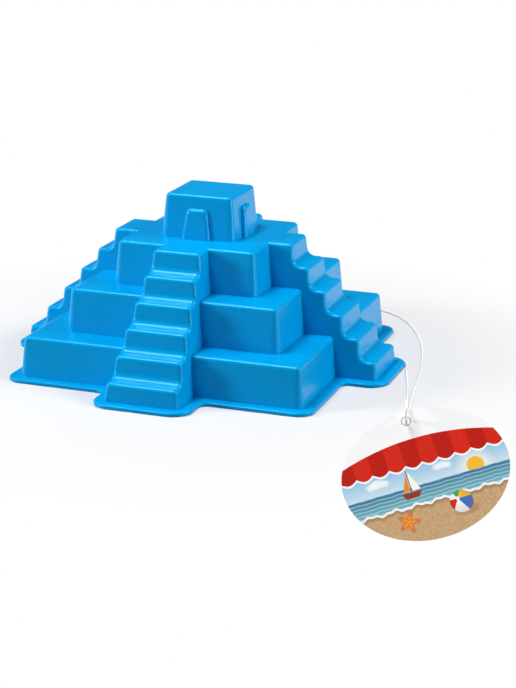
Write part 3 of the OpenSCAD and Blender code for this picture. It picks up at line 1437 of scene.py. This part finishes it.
@dataclass
class HangTag:
    """The oval card that hangs on the loop, in millimetres and degrees.

    Attributes:
        pivot: Where the loop passes through the hole.
        width: Width of the oval.
        height: Height of the oval.
        thick: Thickness of the card.
        hole: Width of the hole.
        margin: Distance of the hole's middle from the oval's top.
        hole_shift: Distance of the hole's middle to the left of the oval's.
        hole_shade_ring: Width of the grey ring of painted shade round the hole.
        seat: Distance of the hole's middle below the filament that carries it.
        lean: Angle of the card with the floor.
        turn: Turn of the card in its own plane.
        heading: Turn of the card about the vertical.
        edge: Width of the bevel on its edges.
        points_round: Number of points in a ring.
        rings_across: Number of bands from the hole to the edge.
        crease: Least angle between two faces that stays sharp.
        layer: Name of the card's own coordinates.
    """

    pivot: Point3
    width: float = 82.0
    height: float = 66.5
    thick: float = 0.5
    hole: float = 4.0
    margin: float = 5.3
    hole_shift: float = 1.1
    hole_shade_ring: float = 0.4
    seat: float = 0.65
    lean: float = 50.0
    turn: float = 20.0
    heading: float = 13.0
    edge: float = 0.08
    points_round: int = 144
    rings_across: int = 10
    crease: float = 30.0
    layer: str = "card"

    @property
    def hole_rise(self) -> float:
        """Height of the hole above the oval's middle."""
        return self.height / 2 - self.margin

    def ring(self, share: float, outwards: float, z: float) -> list[Point3]:
        """Draws one ring between the hole and the card's edge.

        Args:
            share: Nothing at the hole, one at the edge.
            outwards: How far the ring is pushed out from the hole and the edge alike.
            z: Height above the card's back.

        Returns:
            The ring, measured from the middle of the hole.
        """
        ring = []
        for i in range(self.points_round):
            a = 2 * math.pi * i / self.points_round
            inner = Vector((math.cos(a), math.sin(a))) * (self.hole / 2 + outwards)
            across = (self.width / 2 + outwards) * math.cos(a) + self.hole_shift
            outer = Vector((across, (self.height / 2 + outwards) * math.sin(a) - self.hole_rise))
            at = inner.lerp(outer, share)
            ring.append((at.x, at.y, z))
        return ring

    def rings(self) -> list[list[Point3]]:
        """Lists the card's rings.

        Returns:
            The rings, out over the front, down the edge, in over the back and up the hole.
        """
        across = self.rings_across
        pushed = {0: self.edge, across: -self.edge}
        front, back = ([self.ring(k / across, pushed.get(k, 0.0), z) for k in range(across + 1)]
                       for z in (self.thick, 0.0))
        low, high = self.edge, self.thick - self.edge
        rim = [self.ring(1, 0, z) for z in (high, low)]
        hole = [self.ring(0, 0, z) for z in (low, high)]
        return [*front, *rim, *reversed(back), *hole]

    def placing(self) -> Matrix:
        """Where the card stands.

        Returns:
            The matrix from the card's own frame, in millimetres, to the mould's.
        """
        stand = Matrix.Translation(self.pivot)
        stand = stand @ Matrix.Rotation(math.radians(self.heading), 4, "Z")
        stand = stand @ Matrix.Rotation(math.radians(self.lean), 4, "X")
        stand = stand @ Matrix.Translation((0.0, -self.seat, -self.thick / 2))
        return stand @ Matrix.Rotation(math.radians(self.turn), 4, "Z")

    def build(self, stock: CardStock) -> bpy.types.Object:
        """Builds the card and prints its front.

        Args:
            stock: The board that it is cut from.

        Returns:
            The finished piece.
        """
        rings, count = self.rings(), self.points_round
        points = [p for ring in rings for p in ring]
        faces = []
        for k in range(len(rings)):
            for i in range(count):
                j, base, beyond = (i + 1) % count, k * count, (k + 1) % len(rings) * count
                faces.append((base + i, beyond + i, beyond + j, base + j))
        stand = self.placing()
        card = Form([tuple(stand @ Vector(p)) for p in points], faces).piece("printed_card")
        places = card.data.uv_layers.new(name=self.layer)
        for loop in card.data.loops:
            x, y, _ = points[loop.vertex_index]
            across, up = (x - self.hole_shift) / self.width, (y + self.hole_rise) / self.width
            places.data[loop.index].uv = (across + 0.5, up + 0.5)
        # Painted shade: a grey ring round the hole that stands in for the shade of its cut edge.
        ring = HoleShadeRing((-self.hole_shift, self.hole_rise), self.hole / 2 + self.hole_shade_ring)
        card.data.materials.append(stock.material())
        card.data.materials.append(SeasidePrint("seaside_print", self.layer, self.width, ring).material())
        for face in card.data.polygons:
            face.material_index = 1 if face.index < self.rings_across * count else 0
        smooth(card, self.crease)
        place(card, Body.TAG, "hang_tag")
        return card


@dataclass(frozen=True)
class Softbox:
    """A soft lamp, placed round the mould.

    Attributes:
        name: Name of the lamp.
        azimuth: Direction from the mould, from the front towards the right, in degrees.
        elevation: Height above the floor, in degrees.
        width: Width of the lamp, in metres.
        height: Height of the lamp, in metres.
        power: Power of the lamp, in watts.
        distance: Distance from the mould, in metres.
    """

    name: str
    azimuth: float
    elevation: float
    width: float
    height: float
    power: float
    distance: float = 1.6

    def build(self, aim: Vector) -> bpy.types.Object:
        """Sets up the lamp.

        Args:
            aim: The point that it faces.

        Returns:
            The lamp.
        """
        a, e = math.radians(self.azimuth), math.radians(self.elevation)
        back = Vector((math.sin(a) * math.cos(e), -math.cos(a) * math.cos(e), math.sin(e)))
        data = bpy.data.lights.new(self.name, "AREA")
        data.shape = "RECTANGLE"
        data.size, data.size_y = self.width, self.height
        data.energy = self.power
        lamp = bpy.data.objects.new(self.name, data)
        lamp.location = aim + back * self.distance
        lamp.rotation_mode = "QUATERNION"
        lamp.rotation_quaternion = (-back).to_track_quat("-Z", "Y")
        bpy.context.scene.collection.objects.link(lamp)
        return lamp


@dataclass
class Studio:
    """Floor, surroundings, lamps and camera, in metres and degrees.

    Attributes:
        camera_at: Where the camera is.
        camera_aim: The point in the middle of its picture.
        camera_roll: Its turn about the line of sight.
        lens: Its focal length, in millimetres.
        floor_size: Width of the floor.
        floor_bounce: The floor's colour for the light that it throws back.
        floor_colour: The colour that it shows near the mould.
        white_from: Distance from the mould's middle where it starts to fade to white.
        white_at: Distance where it is all white.
        dome_foot: Height, as a share, where the white of the horizon starts to fade.
        dome_start: Height, as a share, where the dim dome starts.
        dome: Strength of the dome.
        lamp_aim: The point that every lamp faces.
    """

    camera_at: Point3 = (0.38314, -1.02993, 0.34253)
    camera_aim: Point3 = (0.02106, 0.03119, 0.0)
    camera_roll: float = 0.651
    lens: float = 96.3
    floor_size: float = 12.0
    floor_bounce: Colour = (0.28, 0.283, 0.29)
    floor_colour: Colour = (0.63, 0.637, 0.65)
    white_from: float = 0.12
    white_at: float = 0.26
    dome_foot: float = 0.02
    dome_start: float = 0.08
    dome: float = 0.02
    lamp_aim: Point3 = (0.03, -0.03, 0.04)

    def camera(self) -> bpy.types.Object:
        """Sets up the camera.

        Returns:
            The camera.
        """
        data = bpy.data.cameras.new("camera")
        data.lens = self.lens
        camera = bpy.data.objects.new("camera", data)
        ahead = (Vector(self.camera_aim) - Vector(self.camera_at)).normalized()
        level = ahead.cross(Vector((0, 0, 1))).normalized()
        steep = level.cross(ahead)
        roll = math.radians(self.camera_roll)
        right = level * math.cos(roll) + steep * math.sin(roll)
        up = steep * math.cos(roll) - level * math.sin(roll)
        turned = Matrix((right, up, -ahead)).transposed()
        camera.matrix_world = Matrix.Translation(self.camera_at) @ turned.to_4x4()
        bpy.context.scene.collection.objects.link(camera)
        bpy.context.scene.camera = camera
        return camera

    def seen(self, board: NodeBoard) -> Field:
        """Tells rays that see the background from those that carry light.

        Args:
            board: The board that needs it.

        Returns:
            One for a ray that sees the background, else nothing.
        """
        path = board.add("LightPath")
        camera, gloss, clear = (Field(board, path.outputs[f"Is {kind} Ray"])
                                for kind in ("Camera", "Glossy", "Transmission"))
        return camera.most(gloss).most(clear)

    def floor(self) -> bpy.types.Object:
        """Lays the pale floor, which keeps the object's shadow.

        Returns:
            The floor.
        """
        half = self.floor_size / 2 / MM
        corners = [(-half, -half, 0.0), (half, -half, 0.0), (half, half, 0.0), (-half, half, 0.0)]
        floor = Form(corners, [(0, 1, 2, 3)]).piece("studio_floor")
        board = MaterialBoard("pale_floor")
        seen = self.seen(board)
        white = board.span(board.distance(), self.white_from, self.white_at)
        paint = board.mix(white, self.floor_colour, BLACK)
        board.set(
            Base_Color=board.mix(seen, self.floor_bounce, paint),
            Roughness=1.0,
            Specular_IOR_Level=0.0,
            Emission_Color=WHITE,
            Emission_Strength=seen * white,
        )
        floor.data.materials.append(board.material)
        return floor

    def surroundings(self) -> None:
        """Makes the surroundings white along the horizon, under a dim dome."""
        world = bpy.data.worlds.new("surroundings")
        bpy.context.scene.world = world
        board = NodeBoard(world)
        _, _, rise = board.parts(board.add("TexCoord").outputs["Generated"])
        back = board.tree.nodes["Background"]
        board.feed(back.inputs["Color"], WHITE)
        board.feed(back.inputs["Strength"], board.span(rise, self.dome_foot, self.dome_start, 1.0, self.dome))

    def lamps(self) -> None:
        """Sets up the lamps."""
        for box in (
            Softbox("key", azimuth=-60.0, elevation=18.0, width=0.4, height=0.4, power=16.5),
            Softbox("side", azimuth=106.0, elevation=42.0, width=0.6, height=0.5, power=14.0),
            Softbox("low_side", azimuth=88.0, elevation=3.0, width=0.24, height=0.2, power=9.5),
            Softbox("large", azimuth=-68.0, elevation=72.0, width=0.7, height=0.5, power=25.0),
        ):
            box.build(Vector(self.lamp_aim))

    def build(self) -> None:
        """Sets up everything but the camera."""
        bpy.context.scene.view_settings.view_transform = "Standard"
        self.floor()
        self.surroundings()
        self.lamps()


def main() -> None:
    """Builds the studio and every piece of the object in order."""
    logging.basicConfig(level=logging.INFO, format="%(message)s")
    studio = Studio()
    studio.camera()

    nylon = MilkyNylon("milky_nylon", colour=linear(246, 247, 248), haze=linear(252, 252, 252))
    loop = TagLoop()
    strand = loop.build(nylon)
    lock_nylon = MilkyNylon("lock_nylon", colour=linear(218, 223, 226), haze=linear(232, 236, 239))
    lock = SnapLock(loop.lock_front, loop.lock_back).build(lock_nylon)
    loop.length() * MM
    loop.thick * MM
    LOG.info("loop length %.1f mm", loop.length())

    stock = CardStock("card_stock", colour=linear(246, 246, 244), fibre=linear(228, 228, 224))
    HangTag(loop.pivot).build(stock)
    plastic = MouldedPlastic(
        "blue_plastic", colour=linear(0, 152, 214), cloud=linear(0, 147, 209), rough=(0.23, 0.26),
        specular=0.26, tint=(0.2, 0.88, 1.0),
    )
    MouldShell().build(plastic)

    studio.build()


if __name__ == "__main__":
    main()
